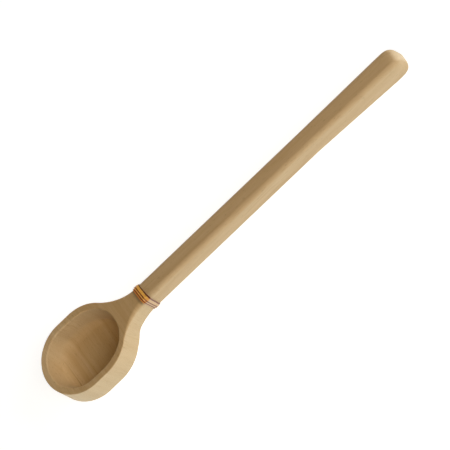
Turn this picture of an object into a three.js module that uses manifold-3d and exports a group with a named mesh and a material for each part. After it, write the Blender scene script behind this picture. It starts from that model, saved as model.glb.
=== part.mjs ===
// Sauna ladle: a bowl block with a short neck, a handle butted to the neck on a glued dowel,
// and a flat lace wound over the joint. Millimetres, +Z up. The bowl opens to +Z, the handle
// points to +X, and the origin is under the middle of the length, on the surface it lies on.
import * as THREE from 'three';
import { mergeVertices } from 'three/addons/utils/BufferGeometryUtils.js';
import Module from 'manifold-3d';

// Overall
const OVERALL_LENGTH = 450;
const RIM_HEIGHT = 27.7;

// Bowl block, seen from above
const BOWL_WIDTH = 76.5;
const BOWL_STRAIGHT = 15;
const SHOULDER_RADIUS = 41;
const NECK_RADIUS = 54;

// Edges of the bowl block, which grow rounder along the neck, and the rise of its underside there
const BASE_EDGE_RADIUS = 4;
const RIM_EDGE_RADIUS = 0.8;
const ROUNDING_LENGTH = 38;
const UNDERCUT_START = 2.5;
const UNDERCUT_LENGTH = 13;

// Hollow of the bowl
const WALL = 6.7;
const HOLLOW_STRAIGHT = 11;
const NECK_SOLID = 34;
const FLOOR_THICKNESS = 5;
const WALL_LEAN = 3.2;
const NOSE_FILLET = 2;
const FAR_FILLET = 7;
const FAR_SLOPE = 2.2;
const RIM_INNER_RADIUS = 1.5;

// Handle
const HANDLE_WIDTH = 19.5;
const HANDLE_HEIGHT = 22.5;
const HANDLE_EDGE_RADIUS = 4.8;
const TIP_WIDTH = 21.2;
const TIP_EDGE_RADIUS = 5.2;
const FLARE_LENGTH = 99;
const FLARE_POWER = 1.05;
const TIP_FLAT = 8;
const TIP_DEPTH = 12;
const TIP_SQUARENESS = 2.6;

// Joint between the neck and the handle
const GLUE_GAP = 0.3;
const DOWEL_DIAMETER = 10;
const DOWEL_LENGTH = 50;
const DOWEL_CHAMFER = 1.2;
const FLUTE_COUNT = 16;
const FLUTE_DEPTH = 0.4;
const DOWEL_CLEARANCE = 0.3;
const DOWEL_END_ROOM = 1;

// Lace
const LACE_WIDTH = 1.95;
const LACE_THICKNESS = 1.1;
const LACE_BEVEL = 0.35;
const LACE_SPACING = 0.6;
const LACE_TURNS = 3;
const LACE_GAP = 0.3;

// Facets
const END_STEPS = 31;
const ARC_STEPS = 10;
const EDGE_STEPS = 4;
const CORNER_STEPS = 5;
const PLAIN_RINGS = 5;
const FLARE_RINGS = 9;
const TIP_RINGS = 8;
const TIP_LAST_SCALE = 0.25;
const BORE_SIDES = 32;
const LACE_STEPS = 24;
const CUT_OVERSHOOT = 1;
const MERGE_DISTANCE = 1e-4;
const LARGEST_EDGE_SHARE = 0.9;

// Finishes
const WOOD = { color: 0xcda873, roughness: 0.6, metalness: 0 };
const DOWEL_WOOD = { color: 0xd9bd92, roughness: 0.7, metalness: 0 };
const LEATHER = { color: 0xb87a33, roughness: 0.55, metalness: 0 };

// Places worked out from the sizes above
const bowlRadius = BOWL_WIDTH / 2;
const handleHalf = HANDLE_WIDTH / 2;
const handleBottom = RIM_HEIGHT - HANDLE_HEIGHT;
const handleEdge = Math.min(HANDLE_EDGE_RADIUS, LARGEST_EDGE_SHARE * handleHalf);
const tipX = OVERALL_LENGTH / 2;
const domeX = tipX - TIP_DEPTH;
const flareX = domeX - TIP_FLAT - FLARE_LENGTH;
const endCentreX = bowlRadius - OVERALL_LENGTH / 2;
const shoulderX = endCentreX + BOWL_STRAIGHT;
const shoulderY = bowlRadius - SHOULDER_RADIUS;
const neckY = handleHalf + NECK_RADIUS;
const neckSwing = Math.acos((neckY - shoulderY) / (SHOULDER_RADIUS + NECK_RADIUS));
const jointX = shoulderX + (SHOULDER_RADIUS + NECK_RADIUS) * Math.sin(neckSwing);
const noseX = endCentreX + HOLLOW_STRAIGHT;
const noseReach = jointX - NECK_SOLID - noseX;
const undercutX = shoulderX + SHOULDER_RADIUS * Math.sin(neckSwing) + UNDERCUT_START;
const lacePitch = LACE_WIDTH + LACE_SPACING;
const laceStartX = jointX - (LACE_TURNS * lacePitch) / 2;
const laceEdgeX = laceStartX - LACE_WIDTH / 2;
const roundingX = laceEdgeX - ROUNDING_LENGTH;
const dowelZ = RIM_HEIGHT - HANDLE_HEIGHT / 2;

// Small helpers

function smoothstep(from, to, value) {
  const t = THREE.MathUtils.clamp((value - from) / (to - from), 0, 1);
  return t * t * (3 - 2 * t);
}

function mix(a, b, t) {
  return a + (b - a) * t;
}

// Joins rings of equally many points into one closed solid. Each ring is closed by strips
// from its two ends towards its middle, which follow a ring that is alike on both sides.
function solidFromRings(rings) {
  const count = rings[0].length;
  const positions = rings.flat().flatMap((p) => [p.x, p.y, p.z]);
  const triangles = [];
  const quad = (a, b, c, d) => triangles.push([a, b, c], [a, c, d]);
  for (let j = 0; j + 1 < rings.length; j += 1) {
    for (let i = 0; i < count; i += 1) {
      const next = (i + 1) % count;
      const low = j * count;
      const high = low + count;
      quad(low + i, low + next, high + next, high + i);
    }
  }
  const top = (rings.length - 1) * count;
  for (let i = 0; i + 1 < count / 2; i += 1) {
    const mirror = count - 1 - i;
    quad(mirror, mirror - 1, i + 1, i);
    quad(top + i, top + i + 1, top + mirror - 1, top + mirror);
  }
  const geometry = new THREE.BufferGeometry();
  geometry.setAttribute('position', new THREE.Float32BufferAttribute(positions, 3));
  const inward = signedVolume(positions, triangles) < 0;
  const facing = triangles.map(([a, b, c]) => (inward ? [a, c, b] : [a, b, c]));
  geometry.setIndex(facing.flat());
  return geometry;
}

function signedVolume(positions, triangles) {
  const at = (i) => new THREE.Vector3().fromArray(positions, 3 * i);
  return triangles.reduce((sum, [a, b, c]) => sum + at(a).dot(at(b).cross(at(c))) / 6, 0);
}

// Cutting one solid from another

const wasm = await Module();
wasm.setup();

function toManifold(geometry) {
  const plain = geometry.clone();
  plain.deleteAttribute('normal');
  plain.deleteAttribute('uv');
  const merged = mergeVertices(plain, MERGE_DISTANCE);
  const mesh = new wasm.Mesh({
    numProp: 3,
    vertProperties: new Float32Array(merged.attributes.position.array),
    triVerts: new Uint32Array(merged.index.array),
  });
  return new wasm.Manifold(mesh);
}

function cut(geometry, ...tools) {
  const result = tools.reduce((solid, tool) => solid.subtract(toManifold(tool)), toManifold(geometry));
  const mesh = result.getMesh();
  const out = new THREE.BufferGeometry();
  out.setAttribute('position', new THREE.BufferAttribute(new Float32Array(mesh.vertProperties), 3));
  out.setIndex(new THREE.BufferAttribute(new Uint32Array(mesh.triVerts), 1));
  return out;
}

// A bore for the dowel from the joint face into the wood, towards +X or -X
function dowelBore(faceX, direction) {
  const length = DOWEL_LENGTH / 2 + DOWEL_END_ROOM + CUT_OVERSHOOT;
  const radius = DOWEL_DIAMETER / 2 + DOWEL_CLEARANCE;
  const bore = new THREE.CylinderGeometry(radius, radius, length, BORE_SIDES);
  bore.rotateZ(Math.PI / 2);
  bore.translate(faceX + direction * (length / 2 - CUT_OVERSHOOT), 0, dowelZ);
  return bore;
}

// Bowl block

// Half of the outline from the joint to the far end, as points with the direction that faces out
function halfOutline() {
  const points = [];
  const add = (x, y, out) => points.push({ x, y, outX: Math.sin(out), outY: Math.cos(out) });
  for (let i = 0; i <= ARC_STEPS; i += 1) {
    const a = (neckSwing * i) / ARC_STEPS;
    add(jointX - NECK_RADIUS * Math.sin(a), neckY - NECK_RADIUS * Math.cos(a), a);
  }
  for (let i = 1; i <= ARC_STEPS; i += 1) {
    const a = neckSwing * (1 - i / ARC_STEPS);
    add(shoulderX + SHOULDER_RADIUS * Math.sin(a), shoulderY + SHOULDER_RADIUS * Math.cos(a), a);
  }
  const halfSteps = (END_STEPS - 1) / 2;
  for (let i = 0; i <= halfSteps; i += 1) {
    const a = -(Math.PI * i) / END_STEPS;
    add(endCentreX + bowlRadius * Math.sin(a), bowlRadius * Math.cos(a), a);
  }
  return points;
}

// A ring at one height: the half outline moved in, then its mirror image
function outlineRing(outline, inset, height) {
  const half = outline.map((p) => {
    const move = inset(p.x);
    const x = p.x - p.outX * move;
    return new THREE.Vector3(x, p.y - p.outY * move, height(x));
  });
  const mirrored = half.map((p) => new THREE.Vector3(p.x, -p.y, p.z)).reverse();
  return [...half, ...mirrored];
}

// Underside and edge radii along the block: flat and crisp at the bowl, as the handle at the lace
function blockBottom(x) {
  return handleBottom * smoothstep(undercutX, undercutX + UNDERCUT_LENGTH, x);
}

function baseEdge(x) {
  return mix(BASE_EDGE_RADIUS, handleEdge, smoothstep(roundingX, laceEdgeX, x));
}

function rimEdge(x) {
  return mix(RIM_EDGE_RADIUS, handleEdge, smoothstep(roundingX, laceEdgeX, x));
}

function bowlBlock() {
  const outline = halfOutline();
  const rings = [];
  for (let i = 0; i <= EDGE_STEPS; i += 1) {
    const a = (Math.PI / 2) * (i / EDGE_STEPS);
    const inset = (x) => baseEdge(x) * (1 - Math.sin(a));
    rings.push(outlineRing(outline, inset, (x) => blockBottom(x) + baseEdge(x) * (1 - Math.cos(a))));
  }
  for (let i = 0; i <= EDGE_STEPS; i += 1) {
    const a = (Math.PI / 2) * (i / EDGE_STEPS);
    const inset = (x) => rimEdge(x) * (1 - Math.cos(a));
    rings.push(outlineRing(outline, inset, (x) => RIM_HEIGHT - rimEdge(x) * (1 - Math.sin(a))));
  }
  return solidFromRings(rings);
}

// A ring of the hollow. The profile says how far it is drawn in from the rim and how high it is, by
// the radius between floor and wall, which is small at the neck and grows towards the sides
function hollowRing(profile) {
  const halfWidth = bowlRadius - WALL;
  const half = [];
  for (let i = 0; i <= END_STEPS; i += 1) {
    const a = (Math.PI * (i + 0.5)) / (END_STEPS + 1);
    const { inset, z } = profile(mix(NOSE_FILLET, FAR_FILLET, smoothstep(Math.PI / 6, Math.PI / 2, a)));
    const nose = a < Math.PI / 2;
    const slope = nose || inset < 0 ? 1 : FAR_SLOPE;
    const reach = (nose ? noseReach : halfWidth) - inset * slope;
    const centre = nose ? noseX : endCentreX;
    half.push(new THREE.Vector3(centre + reach * Math.cos(a), (halfWidth - inset) * Math.sin(a), z));
  }
  const mirrored = half.map((p) => new THREE.Vector3(p.x, -p.y, p.z)).reverse();
  return [...half, ...mirrored];
}

function bowlHollow() {
  const depth = RIM_HEIGHT - FLOOR_THICKNESS;
  const lean = Math.atan2(WALL_LEAN, depth);
  const rings = [];
  for (let i = 0; i <= EDGE_STEPS; i += 1) {
    const a = (Math.PI / 2 - lean) * (i / EDGE_STEPS);
    rings.push(hollowRing((fillet) => {
      const centreZ = FLOOR_THICKNESS + fillet;
      const centreInset = (WALL_LEAN * (RIM_HEIGHT - centreZ)) / depth + fillet / Math.cos(lean);
      return { inset: centreInset - fillet * Math.sin(a), z: centreZ - fillet * Math.cos(a) };
    }));
  }
  for (let i = 0; i <= EDGE_STEPS; i += 1) {
    const a = (Math.PI / 2) * (i / EDGE_STEPS);
    const inset = -RIM_INNER_RADIUS * (1 - Math.cos(a));
    const z = RIM_HEIGHT - RIM_INNER_RADIUS * (1 - Math.sin(a));
    rings.push(hollowRing(() => ({ inset, z })));
  }
  rings.push(hollowRing(() => ({ inset: -RIM_INNER_RADIUS, z: RIM_HEIGHT + CUT_OVERSHOOT })));
  return solidFromRings(rings);
}

// Handle

// A rounded section across the handle, half of it first and then its mirror image
function handleSection(x, halfWidth, bottom, radius, scale) {
  const half = [];
  for (const upper of [false, true]) {
    const cornerZ = upper ? RIM_HEIGHT - radius : bottom + radius;
    const startAngle = upper ? 0 : -Math.PI / 2;
    for (let i = 0; i <= CORNER_STEPS; i += 1) {
      const a = startAngle + (Math.PI / 2) * (i / CORNER_STEPS);
      half.push([halfWidth - radius + radius * Math.cos(a), cornerZ + radius * Math.sin(a)]);
    }
  }
  const middle = (bottom + RIM_HEIGHT) / 2;
  const left = half.map(([y, z]) => new THREE.Vector3(x, y * scale, mix(middle, z, scale)));
  const right = left.map((p) => new THREE.Vector3(p.x, -p.y, p.z)).reverse();
  return [...left, ...right];
}

function handleRing(x, scale) {
  const flare = THREE.MathUtils.clamp((x - flareX) / FLARE_LENGTH, 0, 1) ** FLARE_POWER;
  const halfWidth = mix(handleHalf, TIP_WIDTH / 2, flare);
  const bottom = mix(handleBottom, 0, flare);
  const radius = Math.min(mix(handleEdge, TIP_EDGE_RADIUS, flare), LARGEST_EDGE_SHARE * halfWidth);
  return handleSection(x, halfWidth, bottom, radius, scale);
}

function handleSolid() {
  const startX = jointX + GLUE_GAP;
  const rings = [];
  for (let i = 0; i < PLAIN_RINGS; i += 1) {
    rings.push(handleRing(mix(startX, flareX, i / PLAIN_RINGS), 1));
  }
  for (let i = 0; i < FLARE_RINGS; i += 1) {
    rings.push(handleRing(mix(flareX, domeX, i / FLARE_RINGS), 1));
  }
  for (let i = 0; i <= TIP_RINGS; i += 1) {
    const a = (Math.PI / 2) * (i / TIP_RINGS);
    const scale = Math.max(Math.cos(a) ** (2 / TIP_SQUARENESS), TIP_LAST_SCALE);
    rings.push(handleRing(domeX + TIP_DEPTH * Math.sin(a) ** (2 / TIP_SQUARENESS), scale));
  }
  return solidFromRings(rings);
}

// Dowel: fluted along its length and chamfered at both ends

function dowelRing(x, inset) {
  const ring = [];
  const points = 2 * FLUTE_COUNT;
  for (let i = 0; i < points; i += 1) {
    const a = (2 * Math.PI * (i + 0.5)) / points;
    const radius = DOWEL_DIAMETER / 2 - inset - (i % 2 ? FLUTE_DEPTH : 0);
    ring.push(new THREE.Vector3(x, radius * Math.sin(a), dowelZ + radius * Math.cos(a)));
  }
  return ring;
}

function dowelSolid() {
  const low = jointX - DOWEL_LENGTH / 2;
  const high = jointX + DOWEL_LENGTH / 2;
  return solidFromRings([
    dowelRing(low, DOWEL_CHAMFER),
    dowelRing(low + DOWEL_CHAMFER, 0),
    dowelRing(high - DOWEL_CHAMFER, 0),
    dowelRing(high, DOWEL_CHAMFER),
  ]);
}

// Lace: one flat strip wound round the neck, from the middle of the underside back to it

// Stations once round the neck: place across it, and the direction that faces out
function laceStations() {
  const radius = handleEdge + LACE_GAP + LACE_THICKNESS / 2;
  const flatY = handleHalf - handleEdge;
  const lowZ = handleBottom + handleEdge;
  const highZ = RIM_HEIGHT - handleEdge;
  const corners = [[flatY, lowZ, 0], [flatY, highZ, 1], [-flatY, highZ, 2], [-flatY, lowZ, 3]];
  const cornerSteps = LACE_STEPS / 4 - 2;
  const stations = [];
  const add = (y, z, a) => stations.push({ y: y + radius * Math.cos(a), z: z + radius * Math.sin(a), a });
  add(0, lowZ, -Math.PI / 2);
  for (const [y, z, quarter] of corners) {
    for (let i = 0; i <= cornerSteps; i += 1) {
      add(y, z, (Math.PI / 2) * (quarter - 1 + i / cornerSteps));
    }
    if (quarter === 0) add(flatY, (lowZ + highZ) / 2, 0);
    if (quarter === 1) add(0, highZ, Math.PI / 2);
    if (quarter === 2) add(-flatY, (lowZ + highZ) / 2, Math.PI);
  }
  return stations;
}

// The six corners of the strip's section, as moves along the neck and away from it
function laceCorners() {
  const edge = LACE_WIDTH / 2;
  const flat = edge - LACE_BEVEL;
  const skin = LACE_THICKNESS / 2;
  return [[-edge, 0], [-flat, skin], [flat, skin], [edge, 0], [flat, -skin], [-flat, -skin]];
}

// The strip runs square to the neck on the two sides, and moves along it over the top and underside
function laceRings() {
  const round = laceStations();
  const stops = [];
  for (let turn = 0; turn < LACE_TURNS; turn += 1) {
    stops.push(...round);
  }
  stops.push(round[0]);
  let across = 0;
  const travel = stops.map((stop, i) => {
    across += i ? Math.abs(stop.y - stops[i - 1].y) : 0;
    return across;
  });
  return stops.map((stop, i) => {
    const x = laceStartX + LACE_TURNS * lacePitch * (travel[i] / across);
    return laceCorners().map(([along, away]) => {
      const y = stop.y + away * Math.cos(stop.a);
      return new THREE.Vector3(x + along, y, stop.z + away * Math.sin(stop.a));
    });
  });
}

// Least distance between points of the strip that lie at least half a turn apart along it
function leastSelfGap(rings) {
  let least = Infinity;
  rings.forEach((ring, i) => {
    for (const other of rings.slice(i + LACE_STEPS / 2)) {
      for (const p of ring) {
        for (const q of other) {
          least = Math.min(least, p.distanceTo(q));
        }
      }
    }
  });
  return least;
}

// The object

function named(name, geometry, finish) {
  const faceted = geometry.toNonIndexed();
  faceted.computeVertexNormals();
  const mesh = new THREE.Mesh(faceted, new THREE.MeshStandardMaterial(finish));
  mesh.name = name;
  return mesh;
}

const laceTube = laceRings();
console.log(`lace_binding least gap to itself: ${leastSelfGap(laceTube).toFixed(2)} mm`);

const ladle = new THREE.Group();
ladle.add(
  named('bowl', cut(bowlBlock(), bowlHollow(), dowelBore(jointX, -1)), WOOD),
  named('handle', cut(handleSolid(), dowelBore(jointX + GLUE_GAP, 1)), WOOD),
  named('joint_dowel', dowelSolid(), DOWEL_WOOD),
  named('lace_binding', solidFromRings(laceTube), LEATHER),
);

export default ladle;
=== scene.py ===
"""Looks of a sauna ladle: sanded wood, a wound leather lace, and the camera, floor and light.

Metres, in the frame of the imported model: +X along the handle, +Z up out of the bowl.
"""
import math

import bmesh
import bpy
from mathutils import Matrix, Vector


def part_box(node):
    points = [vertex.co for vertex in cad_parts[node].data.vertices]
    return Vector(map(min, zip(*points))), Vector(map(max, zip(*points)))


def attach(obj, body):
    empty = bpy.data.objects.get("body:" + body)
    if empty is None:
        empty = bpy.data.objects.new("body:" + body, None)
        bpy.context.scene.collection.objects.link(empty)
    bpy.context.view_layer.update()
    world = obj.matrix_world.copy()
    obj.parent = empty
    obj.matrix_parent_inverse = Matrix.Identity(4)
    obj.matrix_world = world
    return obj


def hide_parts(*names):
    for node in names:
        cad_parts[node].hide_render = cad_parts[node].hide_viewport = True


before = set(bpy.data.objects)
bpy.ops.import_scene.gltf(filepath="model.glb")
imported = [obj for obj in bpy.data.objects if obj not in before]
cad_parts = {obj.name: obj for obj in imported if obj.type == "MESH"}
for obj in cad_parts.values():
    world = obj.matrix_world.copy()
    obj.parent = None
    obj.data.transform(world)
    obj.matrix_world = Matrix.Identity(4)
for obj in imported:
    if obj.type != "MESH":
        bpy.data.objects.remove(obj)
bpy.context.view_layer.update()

# Sizes that the frame gives

_, bowl_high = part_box("bowl")
handle_low, handle_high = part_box("handle")
dowel_low, dowel_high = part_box("joint_dowel")

BOWL_RADIUS = bowl_high.y
RIM_Z = bowl_high.z
JOINT_X = bowl_high.x
HANDLE_X = handle_low.x
TIP_X = handle_high.x
TIP_HALF = handle_high.y
DOWEL_Z = (dowel_low.z + dowel_high.z) / 2
DOWEL_RADIUS = (dowel_high.z - dowel_low.z) / 2

# Sizes of the bowl block

BOWL_STRAIGHT = 0.015
SHOULDER_RADIUS = 0.041
NECK_RADIUS = 0.054
BASE_EDGE_RADIUS = 0.004
RIM_EDGE_RADIUS = 0.0008
ROUNDING_LENGTH = 0.038
UNDERCUT_START = 0.0025
UNDERCUT_LENGTH = 0.013

# Sizes of its hollow, whose nose is the end at the neck. An end draws in more than the sides, by its slope.

WALL = 0.0067
HOLLOW_STRAIGHT = 0.011
NECK_SOLID = 0.034
NOSE_SQUARENESS = 2.15
FLOOR_THICKNESS = 0.005
WALL_LEAN = 0.0032
NOSE_FILLET = 0.002
NOSE_FILLET_ANGLE = math.pi / 6
SIDE_FILLET = 0.0095
FAR_FILLET = 0.007
NOSE_SLOPE = 1.3
FAR_SLOPE = 2.2
RIM_INNER_RADIUS = 0.0015

# Sizes of the handle and of the joint

HANDLE_HALF = 0.00975
HANDLE_HEIGHT = 0.0225
HANDLE_EDGE_RADIUS = 0.0048
TIP_EDGE_RADIUS = 0.0052
FLARE_LENGTH = 0.099
FLARE_POWER = 1.05
TIP_FLAT = 0.005
TIP_DEPTH = 0.015
TIP_SQUARENESS = 3.0
BORE_CLEARANCE = 0.0003
BORE_END_ROOM = 0.001

# Sizes of the lace: each turn lies with its bowl side over the turn before it

LACE_WIDTH = 0.0036
LACE_THICKNESS = 0.0005
LACE_CORNER = 0.0002
LACE_PITCH = 0.002
LACE_UPPER_BEND = 0.0036
LACE_LOWER_BEND = 0.0048
LACE_TURNS = 3
LACE_GAP = 0.00003
LACE_FIRST_EDGE_X = JOINT_X - 0.0006
LACE_TILT = math.atan2(LACE_THICKNESS, LACE_PITCH)
LACE_TILT_FROM = 0.8
LACE_END_TAPER = 0.06
LACE_END_WIDTH = 0.55

# The last turn is loose at one bend: it stands off the wood and bows towards the handle

LACE_LOOSE_TURN = 2.62
LACE_LOOSE_SPAN = 0.11
LACE_LIFT = 0.00045
LACE_BOW = 0.0011

# Steps of the fine meshes

ARC_STEPS = 28
END_STEPS = 48
EDGE_STEPS = 9
HOLLOW_STEPS = 72
PLAIN_RINGS = 12
FLARE_RINGS = 36
TIP_RINGS = 26
CORNER_STEPS = 9
BORE_SIDES = 48
LACE_BEND_STEPS = 14
LACE_FLAT_STEPS = 8
LACE_CORNER_STEPS = 4
LACE_TOP_SHARES = (0.6, 0.3, 0, -0.3, -0.6)
SHARP_ANGLE = math.radians(38)
TINY = 1e-6

# Places worked out from the sizes

HANDLE_BOTTOM = RIM_Z - HANDLE_HEIGHT
DOME_X = TIP_X - TIP_DEPTH
FLARE_X = DOME_X - TIP_FLAT - FLARE_LENGTH
END_CENTRE_X = BOWL_RADIUS - TIP_X
SHOULDER_X = END_CENTRE_X + BOWL_STRAIGHT
SHOULDER_Y = BOWL_RADIUS - SHOULDER_RADIUS
NECK_Y = HANDLE_HALF + NECK_RADIUS
NECK_SWING = math.acos((NECK_Y - SHOULDER_Y) / (SHOULDER_RADIUS + NECK_RADIUS))
NOSE_X = END_CENTRE_X + HOLLOW_STRAIGHT
NOSE_REACH = JOINT_X - NECK_SOLID - NOSE_X
UNDERCUT_X = SHOULDER_X + SHOULDER_RADIUS * math.sin(NECK_SWING) + UNDERCUT_START
LACE_EDGE_X = LACE_FIRST_EDGE_X - LACE_WIDTH
ROUNDING_X = LACE_EDGE_X - ROUNDING_LENGTH
BORE_RADIUS = DOWEL_RADIUS + BORE_CLEARANCE


# Small helpers


def lerp(a, b, t):
    return a + (b - a) * t


def smoothstep(low, high, value):
    t = min(max((value - low) / (high - low), 0), 1)
    return t * t * (3 - 2 * t)


def spread(first, last, steps):
    """Evenly spaced values from first to last, both included."""
    return [lerp(first, last, i / steps) for i in range(steps + 1)]


# Mesh helpers


def add_ring(mesh, points):
    return [mesh.verts.new(point) for point in points]


def join_rings(mesh, ring, following, closed=True):
    count = len(ring)
    for i in range(count if closed else count - 1):
        j = (i + 1) % count
        mesh.faces.new((ring[i], ring[j], following[j], following[i]))


def close_across(mesh, ring):
    """Closes a ring that is alike on both sides, by strips from its two ends to its middle."""
    for i in range(len(ring) // 2):
        mirror = len(ring) - 1 - i
        corners = [ring[i], ring[i + 1], ring[mirror - 1], ring[mirror]]
        mesh.faces.new(list(dict.fromkeys(corners)))


def fill_flat(mesh, on_face, normal):
    """Fills the flat face whose open edges have both ends where on_face says, holes left open."""
    open_edges = [e for e in mesh.edges if len(e.link_faces) < 2]
    edges = [e for e in open_edges if all(on_face(v.co) for v in e.verts)]
    bmesh.ops.triangle_fill(mesh, use_beauty=True, edges=edges, normal=normal)


def add_bore(mesh, face_x, depth):
    """A blind bore on the dowel's axis, from the joint face to face_x + depth."""
    rings = []
    for x in (face_x, face_x + depth):
        points = []
        for i in range(BORE_SIDES):
            a = 2 * math.pi * i / BORE_SIDES
            points.append((x, BORE_RADIUS * math.cos(a), DOWEL_Z + BORE_RADIUS * math.sin(a)))
        rings.append(add_ring(mesh, points))
    join_rings(mesh, *rings)
    mesh.faces.new(rings[1])


def make_piece(name, mesh, node, material):
    """Turns the mesh into a smooth piece that stands for a node and takes its slot's material."""
    bmesh.ops.recalc_face_normals(mesh, faces=mesh.faces)
    data = bpy.data.meshes.new(name)
    mesh.to_mesh(data)
    mesh.free()
    data.shade_smooth()
    data.set_sharp_from_angle(angle=SHARP_ANGLE)
    data.materials.append(material)
    piece = bpy.data.objects.new(name, data)
    bpy.context.scene.collection.objects.link(piece)
    weighted = piece.modifiers.new("flat faces", "WEIGHTED_NORMAL")
    weighted.keep_sharp = True
    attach(piece, "root")
    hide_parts(node)


# Bowl block


def half_outline():
    """Half of the outline from the joint to the far end: x, y and the angle that faces out."""
    points = []
    for a in spread(0, NECK_SWING, ARC_STEPS):
        points.append((JOINT_X - NECK_RADIUS * math.sin(a), NECK_Y - NECK_RADIUS * math.cos(a), a))
    for a in spread(NECK_SWING, 0, ARC_STEPS)[1:]:
        x = SHOULDER_X + SHOULDER_RADIUS * math.sin(a)
        points.append((x, SHOULDER_Y + SHOULDER_RADIUS * math.cos(a), a))
    for a in spread(0, -math.pi / 2, END_STEPS):
        points.append((END_CENTRE_X + BOWL_RADIUS * math.sin(a), BOWL_RADIUS * math.cos(a), a))
    return points


def mirrored(half):
    """The half ring and its mirror image, with one point where they meet at the far end."""
    return half + [(x, -y, z) for x, y, z in reversed(half[:-1])]


def outline_ring(outline, inset, height):
    """The outline drawn in by the inset at each x, and lying at the height at each x."""
    half = []
    for x, y, a in outline:
        moved_x = x - math.sin(a) * inset(x)
        half.append((moved_x, y - math.cos(a) * inset(x), height(moved_x)))
    return mirrored(half)


def block_bottom(x):
    return HANDLE_BOTTOM * smoothstep(UNDERCUT_X, UNDERCUT_X + UNDERCUT_LENGTH, x)


def base_edge(x):
    return lerp(BASE_EDGE_RADIUS, HANDLE_EDGE_RADIUS, smoothstep(ROUNDING_X, LACE_EDGE_X, x))


def rim_edge(x):
    return lerp(RIM_EDGE_RADIUS, HANDLE_EDGE_RADIUS, smoothstep(ROUNDING_X, LACE_EDGE_X, x))


def block_rings():
    """Rings from the flat base up its rounded edge, and on up the rim's rounded edge to the top."""
    outline = half_outline()
    rings = []
    for a in spread(0, math.pi / 2, EDGE_STEPS):
        rings.append(outline_ring(
            outline,
            inset=lambda x: base_edge(x) * (1 - math.sin(a)),
            height=lambda x: block_bottom(x) + base_edge(x) * (1 - math.cos(a)),
        ))
    for a in spread(0, math.pi / 2, EDGE_STEPS):
        rings.append(outline_ring(
            outline,
            inset=lambda x: rim_edge(x) * (1 - math.cos(a)),
            height=lambda x: RIM_Z - rim_edge(x) * (1 - math.sin(a)),
        ))
    return rings


def floor_fillet(a):
    """The radius between floor and wall, by the angle round the hollow from the neck to the far end."""
    near = lerp(NOSE_FILLET, SIDE_FILLET, smoothstep(NOSE_FILLET_ANGLE, math.pi / 2, a))
    return lerp(near, FAR_FILLET, smoothstep(math.pi / 2, math.pi, a))


def hollow_ring(profile):
    """A ring of the hollow. The profile takes the floor's edge radius, and gives inset and height.

    An inset below 0 is in the rounded edge at the rim, which is alike all round.
    """
    half_width = BOWL_RADIUS - WALL
    half = []
    for a in spread(0, math.pi, HOLLOW_STEPS):
        inset, z = profile(floor_fillet(a))
        nose = a < math.pi / 2
        slope = NOSE_SLOPE if nose else FAR_SLOPE
        if inset < 0:
            slope = 1
        reach = (NOSE_REACH if nose else half_width) - inset * slope
        centre = NOSE_X if nose else END_CENTRE_X
        power = 2 / NOSE_SQUARENESS if nose else 1
        forward = math.copysign(abs(math.cos(a)) ** power, math.cos(a))
        half.append((centre + reach * forward, (half_width - inset) * math.sin(a) ** power, z))
    return half + [(x, -y, z) for x, y, z in reversed(half[1:-1])]


def hollow_rings():
    """Rings from the edge of the flat floor up the fillet and the leaning wall to the rim."""
    depth = RIM_Z - FLOOR_THICKNESS
    lean = math.atan2(WALL_LEAN, depth)
    rings = []
    for a in spread(0, math.pi / 2 - lean, EDGE_STEPS):
        def corner(fillet):
            centre_z = FLOOR_THICKNESS + fillet
            centre_inset = WALL_LEAN * (RIM_Z - centre_z) / depth + fillet / math.cos(lean)
            return centre_inset - fillet * math.sin(a), centre_z - fillet * math.cos(a)
        rings.append(hollow_ring(corner))
    for a in spread(0, math.pi / 2, EDGE_STEPS):
        inset = -RIM_INNER_RADIUS * (1 - math.cos(a))
        z = RIM_Z - RIM_INNER_RADIUS * (1 - math.sin(a))
        rings.append(hollow_ring(lambda fillet: (inset, z)))
    return rings


def make_bowl(material):
    mesh = bmesh.new()
    outside = [add_ring(mesh, ring) for ring in block_rings()]
    for ring, following in zip(outside, outside[1:]):
        join_rings(mesh, ring, following, closed=False)
    close_across(mesh, outside[0])
    inside = [add_ring(mesh, ring) for ring in hollow_rings()]
    for ring, following in zip(inside, inside[1:]):
        join_rings(mesh, ring, following)
    mesh.faces.new(inside[0])
    mesh.edges.new((outside[-1][0], outside[-1][-1]))
    fill_flat(mesh, lambda co: co.z > RIM_Z - TINY, Vector((0, 0, 1)))
    add_bore(mesh, JOINT_X, dowel_low.x - BORE_END_ROOM - JOINT_X)
    fill_flat(mesh, lambda co: co.x > JOINT_X - TINY, Vector((1, 0, 0)))
    make_piece("bowl_wood_piece", mesh, "bowl", material)


# Handle


def handle_section(x, half_width, bottom, radius, scale):
    """A ring of the handle with rounded corners, drawn in towards its middle by the scale."""
    middle = (bottom + RIM_Z) / 2
    low_z = bottom + radius
    high_z = RIM_Z - radius
    corners = [(1, low_z, -1), (1, high_z, 0), (-1, high_z, 1), (-1, low_z, 2)]
    points = []
    for side, corner_z, quarter in corners:
        for a in spread(quarter * math.pi / 2, (quarter + 1) * math.pi / 2, CORNER_STEPS):
            y = side * (half_width - radius) + radius * math.cos(a)
            z = corner_z + radius * math.sin(a)
            points.append((x, y * scale, lerp(middle, z, scale)))
    return points


def handle_ring(x, scale):
    flare = min(max((x - FLARE_X) / FLARE_LENGTH, 0), 1) ** FLARE_POWER
    half_width = lerp(HANDLE_HALF, TIP_HALF, flare)
    radius = lerp(HANDLE_EDGE_RADIUS, TIP_EDGE_RADIUS, flare)
    return handle_section(x, half_width, lerp(HANDLE_BOTTOM, 0, flare), radius, scale)


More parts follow.
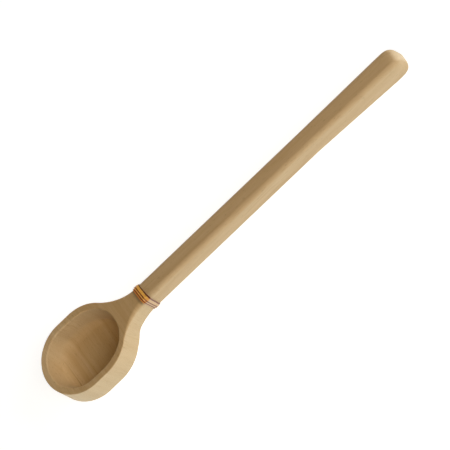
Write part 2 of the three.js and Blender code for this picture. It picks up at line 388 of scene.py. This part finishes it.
def make_handle(material):
    mesh = bmesh.new()
    rings = []
    for x in spread(HANDLE_X, FLARE_X, PLAIN_RINGS)[:-1] + spread(FLARE_X, DOME_X, FLARE_RINGS)[:-1]:
        rings.append(add_ring(mesh, handle_ring(x, 1)))
    for a in spread(0, math.pi / 2, TIP_RINGS)[:-1]:
        scale = math.cos(a) ** (2 / TIP_SQUARENESS)
        x = DOME_X + TIP_DEPTH * math.sin(a) ** (2 / TIP_SQUARENESS)
        rings.append(add_ring(mesh, handle_ring(x, scale)))
    for ring, following in zip(rings, rings[1:]):
        join_rings(mesh, ring, following)
    mesh.faces.new(rings[-1])
    add_bore(mesh, HANDLE_X, dowel_high.x + BORE_END_ROOM - HANDLE_X)
    fill_flat(mesh, lambda co: co.x < HANDLE_X + TINY, Vector((-1, 0, 0)))
    make_piece("handle_wood_piece", mesh, "handle", material)


# Lace


def lace_stations():
    """Places once round the neck from the middle of the underside: y, z and the angle that faces out."""
    low_z = HANDLE_BOTTOM + LACE_LOWER_BEND
    high_z = RIM_Z - LACE_UPPER_BEND
    corners = [(1, low_z, LACE_LOWER_BEND), (1, high_z, LACE_UPPER_BEND)]
    corners += [(-1, high_z, LACE_UPPER_BEND), (-1, low_z, LACE_LOWER_BEND)]
    stations = []
    for quarter, (side, z, bend) in enumerate(corners):
        y = side * (HANDLE_HALF - bend)
        for a in spread((quarter - 1) * math.pi / 2, quarter * math.pi / 2, LACE_BEND_STEPS):
            stations.append((y + bend * math.cos(a), z + bend * math.sin(a), a))
    stations.append(stations[0][:2] + (stations[0][2] + 2 * math.pi,))
    dense = [stations[0]]
    for first, last in zip(stations, stations[1:]):
        flat = abs(first[2] - last[2]) < TINY
        steps = LACE_FLAT_STEPS if flat else 1
        for i in range(steps):
            t = (i + 1) / steps
            dense.append(tuple(lerp(a, b, t) for a, b in zip(first, last)))
    middle = len(dense) - 1 - LACE_FLAT_STEPS // 2
    return dense[middle:-1] + dense[:middle]


def lace_section():
    """The strip's rounded section: moves from its handle-side lower corner, and the place across it."""
    half = LACE_WIDTH / 2
    corners = [(half, 0, -1), (half, 1, 0), (-half, 1, 1), (-half, 0, 2)]
    points = []
    for edge, upper, quarter in corners:
        centre = edge - math.copysign(LACE_CORNER, edge)
        height = LACE_THICKNESS - LACE_CORNER if upper else LACE_CORNER
        for a in spread(quarter * math.pi / 2, (quarter + 1) * math.pi / 2, LACE_CORNER_STEPS):
            along = centre + LACE_CORNER * math.cos(a)
            points.append((along - half, height + LACE_CORNER * math.sin(a), along / half))
        if upper and edge > 0:
            for share in LACE_TOP_SHARES:
                points.append((share * half - half, LACE_THICKNESS, share))
    return points


def lace_path():
    """Each stop of the strip: y, z, facing angle, turns so far and the handle-side edge's x."""
    around = lace_stations()
    stops = []
    travel = 0
    across = sum(abs(b[0] - a[0]) for a, b in zip(around, around[1:] + around[:1]))
    for turn in range(LACE_TURNS):
        for i, (y, z, a) in enumerate(around):
            edge_x = LACE_FIRST_EDGE_X + LACE_PITCH * travel / across
            stops.append((y, z, a, turn + i / len(around), edge_x))
            travel += abs(around[(i + 1) % len(around)][0] - y)
    y, z, a = around[0]
    stops.append((y, z, a, LACE_TURNS, LACE_FIRST_EDGE_X + LACE_PITCH * travel / across))
    return stops


def neck_flare(x):
    """How much further out the neck's side is than the handle's."""
    before = max(JOINT_X - x, 0)
    return NECK_RADIUS - math.sqrt(NECK_RADIUS ** 2 - before ** 2)


def make_lace(material):
    mesh = bmesh.new()
    across_layer = mesh.verts.layers.float.new("across")
    turns_layer = mesh.verts.layers.float.new("turns")
    side_layer = mesh.verts.layers.float.new("side")
    section = lace_section()
    rings = []
    for y, z, facing, turns, edge_x in lace_path():
        tilt = LACE_TILT * smoothstep(LACE_TILT_FROM, 1, turns)
        loose = math.exp(-((turns - LACE_LOOSE_TURN) / LACE_LOOSE_SPAN) ** 2)
        end = min(turns, LACE_TURNS - turns) / LACE_END_TAPER
        narrow = lerp(LACE_END_WIDTH, 1, smoothstep(0, 1, end))
        points = []
        for along, away, _ in section:
            stray = loose * (1 + along / LACE_WIDTH)
            x = edge_x + (along * math.cos(tilt) + away * math.sin(tilt)) * narrow + LACE_BOW * stray
            height = LACE_GAP - along * math.sin(tilt) + away * math.cos(tilt) + LACE_LIFT * stray
            sideways = height + neck_flare(x)
            points.append((x, y + sideways * math.cos(facing), z + height * math.sin(facing)))
        ring = add_ring(mesh, points)
        for vertex, (_, _, share) in zip(ring, section):
            vertex[across_layer] = share
            vertex[turns_layer] = turns
            vertex[side_layer] = abs(math.cos(facing))
        rings.append(ring)
    for ring, following in zip(rings, rings[1:]):
        join_rings(mesh, ring, following)
    mesh.faces.new(rings[0])
    mesh.faces.new(rings[-1])
    make_piece("lace_wound", mesh, "lace_binding", material)


# Materials

MM = 1000


class Shader:
    """The node tree of a material or the world, with short ways to add nodes."""

    def __init__(self, owner):
        """Takes a new material or the world."""
        self.owner = owner
        owner.use_nodes = True
        self.tree = owner.node_tree
        self.tree.nodes.clear()

    def add(self, kind, inputs=None, **settings):
        node = self.tree.nodes.new(kind)
        for key, value in settings.items():
            setattr(node, key, value)
        for key, value in (inputs or {}).items():
            if isinstance(value, bpy.types.NodeSocket):
                self.tree.links.new(value, node.inputs[key])
            else:
                node.inputs[key].default_value = value
        return node

    def math(self, operation, *values):
        return self.add("ShaderNodeMath", dict(enumerate(values)), operation=operation).outputs[0]

    def times(self, first, second):
        return self.math("MULTIPLY", first, second)

    def distance(self, first, second):
        return self.math("ABSOLUTE", self.math("SUBTRACT", first, second))

    def remap(self, value, low, high, to_low, to_high):
        inputs = {0: value, 1: low, 2: high, 3: to_low, 4: to_high}
        return self.add("ShaderNodeMapRange", inputs).outputs[0]

    def mix(self, share, first, second, blend="MIX"):
        inputs = {0: share, 6: first, 7: second}
        return self.add("ShaderNodeMix", inputs, data_type="RGBA", blend_type=blend).outputs[2]

    def axes(self, vector):
        return self.add("ShaderNodeSeparateXYZ", {0: vector}).outputs

    def stretched(self, vector, factors):
        inputs = {0: vector, 1: factors}
        return self.add("ShaderNodeVectorMath", inputs, operation="MULTIPLY").outputs[0]

    def noise(self, vector, factors, detail=2.0, roughness=0.5):
        inputs = {
            "Vector": self.stretched(vector, factors),
            "Scale": 1.0,
            "Detail": detail,
            "Roughness": roughness,
        }
        return self.add("ShaderNodeTexNoise", inputs).outputs["Fac"]

    def ramp(self, value, stops):
        node = self.add("ShaderNodeValToRGB", {0: value})
        elements = node.color_ramp.elements
        while len(elements) < len(stops):
            elements.new(1.0)
        for element, (position, colour) in zip(elements, stops):
            element.position = position
            element.color = colour
        return node.outputs[0]

    def edges(self, radius, sharpest):
        """About 1 on the edges of the shape and 0 on its faces."""
        rounded = self.add("ShaderNodeBevel", {"Radius": radius}, samples=4).outputs[0]
        plain = self.add("ShaderNodeNewGeometry").outputs["Normal"]
        both = {0: rounded, 1: plain}
        same = self.add("ShaderNodeVectorMath", both, operation="DOT_PRODUCT").outputs["Value"]
        return self.remap(same, 1.0, sharpest, 0.0, 1.0)

    def seen(self):
        """1 where the camera looks, straight or by a reflection, and 0 for light bound for a matt face."""
        path = self.add("ShaderNodeLightPath").outputs
        mirrored = self.math("MAXIMUM", path["Is Glossy Ray"], path["Is Transmission Ray"])
        return self.math("MAXIMUM", path["Is Camera Ray"], mirrored)

    def surface(self, inputs):
        shader = self.add("ShaderNodeBsdfPrincipled", inputs)
        self.add("ShaderNodeOutputMaterial", {"Surface": shader.outputs[0]})
        return self.owner


def srgb(red, green, blue):
    """A colour written as 0 to 255 in sRGB, as the linear colour that a socket takes."""
    def linear(value):
        share = value / 255
        return share / 12.92 if share <= 0.04045 else ((share + 0.055) / 1.055) ** 2.4
    return (linear(red), linear(green), linear(blue), 1.0)


# Wood: cells of each noise per millimetre, along the fibres, across the layers and along the layers

BEND_STRETCH = (0.012, 0.03, 0.03)
LAYER_STRETCH = (0.003, 0.16, 0.012)
LINE_STRETCH = (0.006, 0.5, 0.02)
FIBRE_STRETCH = (0.05, 1.7, 1.2)
PORE_STRETCH = (0.22, 2.4, 1.8)
PATCH_STRETCH = (0.02, 0.05, 0.05)
FINE_STRETCH = (0.8, 5, 5)

# Wood: how far its layers bend, the levels between which a noise comes to show, and the most it shows

BEND_MM = 3
LINE_LEVEL = 0.5
LINE_HALF_SPAN = 0.025
PATCH_SPAN = (0.42, 0.62)
LINE_SHARE = 0.42
FIBRE_SPAN = (0.35, 0.7)
FIBRE_SHARE = 0.24
PORE_SPAN = (0.68, 0.75)
PORE_SHARE = 0.5

# Wood: edges that are worn, so paler and glossier

WORN_RADIUS = 0.0012
WORN_SHARPEST = 0.8
WORN_SHARE = 0.22
WORN_GLOSS = 0.08

# Wood: relief and gloss

FIBRE_RELIEF = 0.7
FINE_RELIEF = 0.3
PORE_RELIEF = 0.6
WOOD_BUMP = {"Strength": 0.35, "Distance": 0.00012}
ROUGH_SPAN = (0.3, 0.75)
ROUGHNESS = (0.5, 0.66)
WOOD_SPECULAR = 0.25

# Dark lines, in millimetres along the fibres: where they fade in, and where they end by the near wall

DARK_LINE_FADE = (20, -12)
DARK_LINE_FAINT = 0.1
DARK_LINE_END = (-29, -23)

# Wood where the fibres end in the surface, tinted paler and cooler: partly the end grain's own colour and
# partly painted light. On the bowl, whose fibres run across it, this is painted light on its sides; on the
# handle it is a painted highlight on the tip's end, strongest where the end faces up. The span is how far
# the surface has to face along the fibres, and the lean adds to that where it faces up. The upright span is
# how far up it may face. The even share is how much the layers fade there.

END_GRAIN_AND_LIGHT = {
    "span": (0.35, 0.85),
    "lean": 0.0,
    "upright": (0.25, 0.75),
    "even": 0.5,
    "tint": (1.10, 1.17, 1.27, 1),
}
TIP_GRAIN_AND_HIGHLIGHT = {
    "span": (0.70, 0.98),
    "lean": 0.4,
    "upright": (1.0, 1.2),
    "even": 0.3,
    "tint": (1.32, 1.42, 1.60, 1),
}


def end_grain_and_light(shader, facing, colour, pale, ends):
    """Pales and cools the wood where its fibres end in the surface: partly the end grain's colour, partly
    painted light.
    """
    ahead, _, upward = shader.axes(facing)
    towards = shader.math("ADD", shader.math("ABSOLUTE", ahead), shader.times(upward, ends["lean"]))
    upright = shader.remap(shader.math("ABSOLUTE", upward), *ends["upright"], 1, 0)
    ended = shader.times(shader.remap(towards, *ends["span"], 0, 1), upright)
    colour = shader.mix(shader.times(ended, ends["even"]), colour, pale)
    # The tint is partly the end grain's own colour and partly painted light on the bowl's sides and a
    # painted highlight on the tip.
    return shader.mix(ended, colour, ends["tint"], "MULTIPLY")


def banded(shader, bent, colour, bands, dark_lines):
    """Tints the layers by their place across the wood, and draws the dark lines between them."""
    fibre, across, _ = shader.axes(bent)
    low, high = bands[0][0], bands[-1][0]
    stops = [((at - low) / (high - low), tint) for at, tint in bands]
    tint = shader.ramp(shader.remap(across, low, high, 0, 1), stops)
    colour = shader.mix(1.0, colour, tint, "MULTIPLY")
    fading = shader.remap(fibre, *DARK_LINE_FADE, DARK_LINE_FAINT, 1)
    strong = shader.math("MINIMUM", fading, shader.remap(fibre, *DARK_LINE_END, 0, 1))
    for at, half, tint in dark_lines:
        share = shader.times(strong, shader.remap(shader.distance(across, at), 0, half, 1, 0))
        colour = shader.mix(share, colour, tint, "MULTIPLY")
    return colour


def wood(name, turn, tones, streak, fleck, bands=(), dark_lines=(), painted_light=None, ends=END_GRAIN_AND_LIGHT):
    """Sanded pale wood. Its fibres run along the turned X axis and its layers lie across the turned Y.

    The tones are the layers' colours, palest first. Lines and fibres have the streak's colour, and pores
    the fleck's. A band is a place across the layers, in millimetres, and its tint. A dark line is a place,
    half a width and a tint. The painted light takes the shader, the object coordinates and the colour so
    far, and gives the last colour with painted light and shade. The ends say how the end grain looks,
    with the painted light that goes with it.
    """
    shader = Shader(bpy.data.materials.new(name))
    where = shader.add("ShaderNodeTexCoord").outputs
    inputs = {"Vector": where["Object"], "Rotation": turn, "Scale": (MM, MM, MM)}
    grain = shader.add("ShaderNodeMapping", inputs).outputs[0]
    facing = shader.add("ShaderNodeMapping", {"Vector": where["Normal"], "Rotation": turn}).outputs[0]
    bend = shader.remap(shader.noise(grain, BEND_STRETCH), 0, 1, -BEND_MM, BEND_MM)
    moved = shader.add("ShaderNodeCombineXYZ", {1: bend}).outputs[0]
    bent = shader.add("ShaderNodeVectorMath", {0: grain, 1: moved}, operation="ADD").outputs[0]

    layers = shader.noise(bent, LAYER_STRETCH, detail=5, roughness=0.62)
    lines = shader.noise(bent, LINE_STRETCH)
    fibres = shader.noise(bent, FIBRE_STRETCH, detail=4, roughness=0.7)
    pores = shader.noise(bent, PORE_STRETCH, detail=1)
    patches = shader.noise(grain, PATCH_STRETCH, detail=3)
    fine = shader.noise(grain, FINE_STRETCH)
    worn = shader.edges(WORN_RADIUS, WORN_SHARPEST)

    pale = tones[0][1]
    colour = shader.ramp(layers, tones)
    if bands:
        colour = banded(shader, bent, colour, bands, dark_lines)
    colour = end_grain_and_light(shader, facing, colour, pale, ends)
    thin = shader.remap(shader.distance(lines, LINE_LEVEL), 0, LINE_HALF_SPAN, 1, 0)
    faded = shader.times(thin, shader.remap(patches, *PATCH_SPAN, 0, LINE_SHARE))
    colour = shader.mix(faded, colour, streak)
    colour = shader.mix(shader.remap(fibres, *FIBRE_SPAN, 0, FIBRE_SHARE), colour, streak)
    dash = shader.remap(pores, *PORE_SPAN, 0, PORE_SHARE)
    colour = shader.mix(dash, colour, fleck)
    colour = shader.mix(shader.times(worn, WORN_SHARE), colour, pale)
    if painted_light:
        colour = painted_light(shader, where["Object"], colour)

    height = shader.math("ADD", shader.times(fibres, FIBRE_RELIEF), shader.times(fine, FINE_RELIEF))
    height = shader.math("SUBTRACT", height, shader.times(dash, PORE_RELIEF))
    bump = shader.add("ShaderNodeBump", {**WOOD_BUMP, "Height": height})
    rough = shader.remap(fibres, *ROUGH_SPAN, *ROUGHNESS)
    rough = shader.math("SUBTRACT", rough, shader.times(worn, WORN_GLOSS))
    return shader.surface({
        "Base Color": colour,
        "Roughness": rough,
        "Normal": bump.outputs[0],
        "Specular IOR Level": WOOD_SPECULAR,
    })


# Bowl's wood: where painted light makes its rim paler and cooler, and where painted shade from the lace
# darkens its neck

PAINTED_RIM_LIGHT_X = (END_CENTRE_X + 0.022, END_CENTRE_X)
PAINTED_RIM_LIGHT_Y = (-0.014, 0.022)
PAINTED_RIM_LIGHT_Z = (RIM_Z - 0.0016, RIM_Z - 0.0003)
PAINTED_RIM_LIGHT_TINT = (1.16, 1.20, 1.30, 1)
SHADED_NECK_X = (LACE_EDGE_X - 0.0022, LACE_EDGE_X - 0.0002)
SHADED_NECK_Z = (RIM_Z - 0.0035, RIM_Z - 0.0008)
SHADED_NECK_SHARE = 0.5


def rim_and_neck(shader, place, colour):
    """Paints light on the rim towards the far end, paler and cooler, and paints shade on the top of the
    neck beside the lace.
    """
    x, y, z = shader.axes(place)
    # Painted light: the top of the rim is paler and cooler towards the far end and the +Y side.
    far = shader.times(shader.remap(z, *PAINTED_RIM_LIGHT_Z, 0, 1), shader.remap(x, *PAINTED_RIM_LIGHT_X, 0, 1))
    far = shader.times(far, shader.remap(y, *PAINTED_RIM_LIGHT_Y, 0, 1))
    colour = shader.mix(far, colour, PAINTED_RIM_LIGHT_TINT, "MULTIPLY")
    # Painted shade: the top of the neck beside the lace is darker.
    upper = shader.remap(z, *SHADED_NECK_Z, 0, 1)
    beside = shader.remap(x, *SHADED_NECK_X, 0, SHADED_NECK_SHARE)
    return shader.mix(shader.times(upper, beside), colour, srgb(92, 72, 50))


def bowl_wood():
    """Fibres across the ladle, tinted paler and cooler towards the far end and darker towards the neck."""
    tones = [
        (0.30, srgb(212, 184, 141)),
        (0.50, srgb(205, 175, 130)),
        (0.70, srgb(196, 163, 117)),
    ]
    bands = [
        (120.0, (0.96, 0.94, 0.90, 1)),
        (160.0, (0.97, 0.95, 0.92, 1)),
        (168.0, (1.0, 1.0, 1.0, 1)),
        (188.0, (1.0, 1.01, 1.02, 1)),
        (205.0, (1.02, 1.03, 1.04, 1)),
        (206.5, (1.05, 1.06, 1.06, 1)),
        (226.0, (1.10, 1.13, 1.18, 1)),
    ]
    dark_lines = [
        (135.8, 0.5, (0.84, 0.79, 0.72, 1)),
        (187.1, 0.5, (0.85, 0.79, 0.71, 1)),
        (205.8, 0.8, (0.66, 0.56, 0.46, 1)),
    ]
    turn = (0, math.radians(3), math.radians(-90))
    streak = srgb(178, 142, 98)
    return wood("bowl_wood", turn, tones, streak, srgb(120, 84, 50), bands, dark_lines, rim_and_neck)


def handle_wood():
    """Fibres along the handle, in slanting layers, with a pale tip."""
    tones = [
        (0.30, srgb(215, 189, 148)),
        (0.50, srgb(209, 181, 139)),
        (0.70, srgb(201, 171, 128)),
    ]
    turn = (math.radians(35), 0, math.radians(1.2))
    return wood("handle_wood", turn, tones, srgb(184, 150, 106), srgb(126, 94, 60), ends=TIP_GRAIN_AND_HIGHLIGHT)


def dowel_wood():
    tones = [
        (0.30, srgb(222, 198, 160)),
        (0.50, srgb(214, 187, 146)),
        (0.70, srgb(204, 173, 130)),
    ]
    turn = (math.radians(10), 0, 0)
    return wood("dowel_wood", turn, tones, srgb(180, 144, 100), srgb(128, 92, 58))


# Leather: cells of each noise per millimetre, the levels between which it comes to show, and how much

UNEVEN_STRETCH = (0.6, 0.6, 0.6)
UNEVEN_SPAN = (0.3, 0.7)
LEATHER_PORE_STRETCH = (5, 5, 5)
LEATHER_PORE_SPAN = (0.55, 0.75)
CREASE_STRETCH = (4, 0.5, 0.5)
CREASE_SPAN = (0.5, 0.72)
MARK_SHARE = 0.3

# Leather: its turns, counted along the lace, and how far its face has turned from the top to the side,
# where painted shade darkens the gold across the bend and a painted sheen makes it paler on the side

FIRST_TURN_END = (0.9, 1.1)
FIRST_TURN_SHARE = 0.6
LAST_TURN_START = (LACE_TURNS - 1.1, LACE_TURNS - 0.9)
BEND_SHADE_SPAN = (0.35, 0.8)
SIDE_SHEEN_SPAN = (0.9, 0.965)

# Leather: where its dark part starts across the lace, from -1 at its bowl side to 1 at its handle side.
# Between turns the dark part is dye and painted shade in the groove; on the last turn it is its dark edge
# and a painted shadow under that edge, wider towards the loose bend

DYE_AND_SHADE_FROM = -0.45
LAST_EDGE_AND_SHADOW_FROM = (0.65, 0.30)
LAST_EDGE_AND_SHADOW_TURNS = (LACE_LOOSE_TURN - 0.22, LACE_LOOSE_TURN - 0.06)
DYE_AND_SHADE_WAVE = 0.08
DYE_AND_SHADE_SOFTNESS = 0.14
DARK_EDGE_SPAN = (-0.86, -0.94)
DARK_EDGE_SHARE = 0.7

# Leather: relief and gloss

CREASE_RELIEF = 0.6
LEATHER_PORE_RELIEF = 0.4
LEATHER_BUMP = {"Strength": 0.3, "Distance": 0.00008}
LEATHER_ROUGH_SPAN = (0.3, 0.7)
LEATHER_ROUGHNESS = (0.3, 0.45)


def lace_leather():
    """Glossy golden lace. A painted sheen makes it paler where its face turns to the side, and painted
    shade darkens the gold across the bend. Where one turn meets the next it is dark with dye and painted
    shade.
    """
    shader = Shader(bpy.data.materials.new("lace_leather"))
    place = shader.stretched(shader.add("ShaderNodeTexCoord").outputs["Object"], (MM, MM, MM))
    across = shader.add("ShaderNodeAttribute", attribute_name="across").outputs["Fac"]
    turns = shader.add("ShaderNodeAttribute", attribute_name="turns").outputs["Fac"]
    side = shader.add("ShaderNodeAttribute", attribute_name="side").outputs["Fac"]
    uneven = shader.noise(place, UNEVEN_STRETCH, detail=3)
    pores = shader.noise(place, LEATHER_PORE_STRETCH, detail=3, roughness=0.65)
    creases = shader.noise(place, CREASE_STRETCH)
    # Where the painted sheen shows: the face turned to the side.
    side_sheen = shader.remap(side, *SIDE_SHEEN_SPAN, 0, 1)
    last = shader.remap(turns, *LAST_TURN_START, 0, 1)

    gold = shader.mix(shader.remap(uneven, *UNEVEN_SPAN, 0, 1), srgb(255, 202, 98), srgb(246, 178, 76))
    gold = shader.mix(shader.remap(turns, *FIRST_TURN_END, FIRST_TURN_SHARE, 0), gold, srgb(228, 134, 52))
    # Painted shade darkens the gold across the bend, and a painted sheen makes it paler on the side.
    gold = shader.mix(shader.remap(side, *BEND_SHADE_SPAN, 0, 1), gold, srgb(226, 160, 74))
    gold = shader.mix(side_sheen, gold, srgb(216, 182, 138))
    gold = shader.mix(shader.remap(creases, *CREASE_SPAN, 0, MARK_SHARE), gold, srgb(170, 106, 44))
    gold = shader.mix(shader.remap(pores, *LEATHER_PORE_SPAN, 0, MARK_SHARE), gold, srgb(176, 112, 50))

    # The dark part: dye and painted shade in the grooves between turns; on the last turn, its dark edge and
    # a painted shadow under it.
    last_from = shader.remap(turns, *LAST_EDGE_AND_SHADOW_TURNS, *LAST_EDGE_AND_SHADOW_FROM)
    further = shader.times(last, shader.math("SUBTRACT", last_from, DYE_AND_SHADE_FROM))
    dye_and_shade_from = shader.math("ADD", DYE_AND_SHADE_FROM, further)
    wavy = shader.math("ADD", across, shader.remap(uneven, 0, 1, -DYE_AND_SHADE_WAVE, DYE_AND_SHADE_WAVE))
    dye_and_shade = shader.remap(shader.math("SUBTRACT", wavy, dye_and_shade_from), 0, DYE_AND_SHADE_SOFTNESS, 0, 1)
    edge = shader.remap(wavy, *DARK_EDGE_SPAN, 0, DARK_EDGE_SHARE)
    # Painted shadow: the last turn's dark part is darker.
    dark = shader.mix(last, srgb(132, 26, 8), srgb(84, 26, 8))
    # Painted sheen: the dark part is paler where the face has turned to the side.
    dark = shader.mix(side_sheen, dark, srgb(134, 88, 74))
    colour = shader.mix(shader.math("MAXIMUM", dye_and_shade, edge), gold, dark)

    fine = shader.times(pores, LEATHER_PORE_RELIEF)
    height = shader.math("ADD", shader.times(creases, CREASE_RELIEF), fine)
    bump = shader.add("ShaderNodeBump", {**LEATHER_BUMP, "Height": height})
    return shader.surface({
        "Base Color": colour,
        "Roughness": shader.remap(pores, *LEATHER_ROUGH_SPAN, *LEATHER_ROUGHNESS),
        "Normal": bump.outputs[0],
        "Specular IOR Level": 0.3,
        "Coat Weight": 0.4,
        "Coat Roughness": 0.12,
    })


# Camera: a long lens at the photograph's angle, turned about its own axis

PHOTO_PIXELS = 450
PIXELS_PER_METRE = 1093
ORIGIN_PIXEL = (235.56, 225.89)
VIEW_AZIMUTH = math.radians(23.13)
VIEW_ELEVATION = math.radians(53.7)
VIEW_ROLL = math.radians(-62.63)
VIEW_DISTANCE = 14.0
SENSOR_MM = 36.0


def direction(azimuth, elevation):
    """Towards a viewer or lamp: azimuth 0 is on the -Y side and 90 degrees on the +X side."""
    flat = math.cos(elevation)
    return Vector((math.sin(azimuth) * flat, -math.cos(azimuth) * flat, math.sin(elevation)))


def make_camera():
    back = direction(VIEW_AZIMUTH, VIEW_ELEVATION)
    level = Vector((math.cos(VIEW_AZIMUTH), math.sin(VIEW_AZIMUTH), 0))
    upright = back.cross(level)
    right = math.cos(VIEW_ROLL) * level + math.sin(VIEW_ROLL) * upright
    up = math.cos(VIEW_ROLL) * upright - math.sin(VIEW_ROLL) * level
    middle = PHOTO_PIXELS / 2
    target = right * (middle - ORIGIN_PIXEL[0]) / PIXELS_PER_METRE
    target += up * (ORIGIN_PIXEL[1] - middle) / PIXELS_PER_METRE
    data = bpy.data.cameras.new("photo_camera")
    data.sensor_width = SENSOR_MM
    data.lens = SENSOR_MM * VIEW_DISTANCE * PIXELS_PER_METRE / PHOTO_PIXELS
    camera = bpy.data.objects.new("photo_camera", data)
    turned = Matrix((right, up, back)).transposed().to_4x4()
    camera.matrix_world = Matrix.Translation(target + back * VIEW_DISTANCE) @ turned
    bpy.context.scene.collection.objects.link(camera)
    bpy.context.scene.camera = camera


# Floor and light

FLOOR_SIZE = 40.0
FLOOR_DROP = 0.0002
FLOOR_GLOW = 0.82
FLOOR_SHADE = (0.50, 0.53, 0.58, 1.0)
FLOOR_BOUNCE = {"Color": (0.92, 0.97, 1.0, 1), "Strength": 1.2}
WORLD_LIGHT = {"Color": (1.0, 0.75, 0.45, 1.0), "Strength": 0.01}
CEILING_SPAN = (0.05, 0.4)
CEILING_STRENGTH = 0.3
LAMP_DISTANCE = 3.2

# Each lamp's name, azimuth, elevation, size, level and colour

LAMPS = [
    ("key", 30, 42, (1.8, 1.4), 0.245, (1.0, 0.97, 0.92)),
    ("right", 76, 25, (2.8, 1.4), 0.365, (1.0, 0.96, 0.91)),
    ("top", 20, 66, (1.8, 1.4), 0.198, (1.0, 0.76, 0.42)),
    ("back", 190, 7, (2.4, 0.7), 0.15, (1.0, 0.84, 0.66)),
    ("left", -60, 10, (1.8, 1.4), 0.2, (1.0, 1.0, 0.98)),
]


def make_floor():
    """A plain white floor. The camera sees it glow a little, so it is white with a soft shadow."""
    half = FLOOR_SIZE / 2
    data = bpy.data.meshes.new("floor")
    corners = [(-half, -half), (half, -half), (half, half), (-half, half)]
    data.from_pydata([(x, y, -FLOOR_DROP) for x, y in corners], [], [(0, 1, 2, 3)])
    floor = bpy.data.objects.new("floor", data)
    bpy.context.scene.collection.objects.link(floor)
    shader = Shader(bpy.data.materials.new("floor"))
    plain = shader.add("ShaderNodeEmission", FLOOR_BOUNCE).outputs[0]
    shade = shader.add("ShaderNodeBsdfDiffuse", {"Color": FLOOR_SHADE}).outputs[0]
    glow = shader.add("ShaderNodeEmission", {"Strength": FLOOR_GLOW}).outputs[0]
    white = shader.add("ShaderNodeAddShader", {0: shade, 1: glow}).outputs[0]
    both = shader.add("ShaderNodeMixShader", {0: shader.seen(), 1: plain, 2: white}).outputs[0]
    shader.add("ShaderNodeOutputMaterial", {"Surface": both})
    data.materials.append(shader.owner)


def make_world():
    """A weak soft light from all round. What is seen of it is white, and dim overhead."""
    world = bpy.data.worlds.new("studio")
    bpy.context.scene.world = world
    shader = Shader(world)
    soft = shader.add("ShaderNodeBackground", WORLD_LIGHT).outputs[0]
    height = shader.axes(shader.add("ShaderNodeTexCoord").outputs["Generated"])[2]
    strength = shader.remap(height, *CEILING_SPAN, 1.0, CEILING_STRENGTH)
    white = shader.add("ShaderNodeBackground", {"Color": (1, 1, 1, 1), "Strength": strength}).outputs[0]
    both = shader.add("ShaderNodeMixShader", {0: shader.seen(), 1: soft, 2: white}).outputs[0]
    shader.add("ShaderNodeOutputWorld", {"Surface": both})


def add_lamp(name, azimuth, elevation, size, level, colour):
    """A soft lamp, wide and tall as size says. Its level is about what it adds to a white face."""
    data = bpy.data.lights.new(name, "AREA")
    data.shape = "RECTANGLE"
    data.size, data.size_y = size
    data.energy = level * (math.pi * LAMP_DISTANCE) ** 2
    data.color = colour
    lamp = bpy.data.objects.new(name, data)
    towards = direction(math.radians(azimuth), math.radians(elevation))
    lamp.location = towards * LAMP_DISTANCE
    lamp.rotation_mode = "QUATERNION"
    lamp.rotation_quaternion = towards.to_track_quat("Z", "Y")
    bpy.context.scene.collection.objects.link(lamp)


# The scene

make_camera()
make_floor()
make_world()
for lamp in LAMPS:
    add_lamp(*lamp)
make_bowl(bowl_wood())
make_handle(handle_wood())
make_lace(lace_leather())
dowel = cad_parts["joint_dowel"]
dowel.data.materials.clear()
dowel.data.materials.append(dowel_wood())

bpy.context.scene.view_settings.view_transform = "Standard"
bpy.context.view_layer.update()
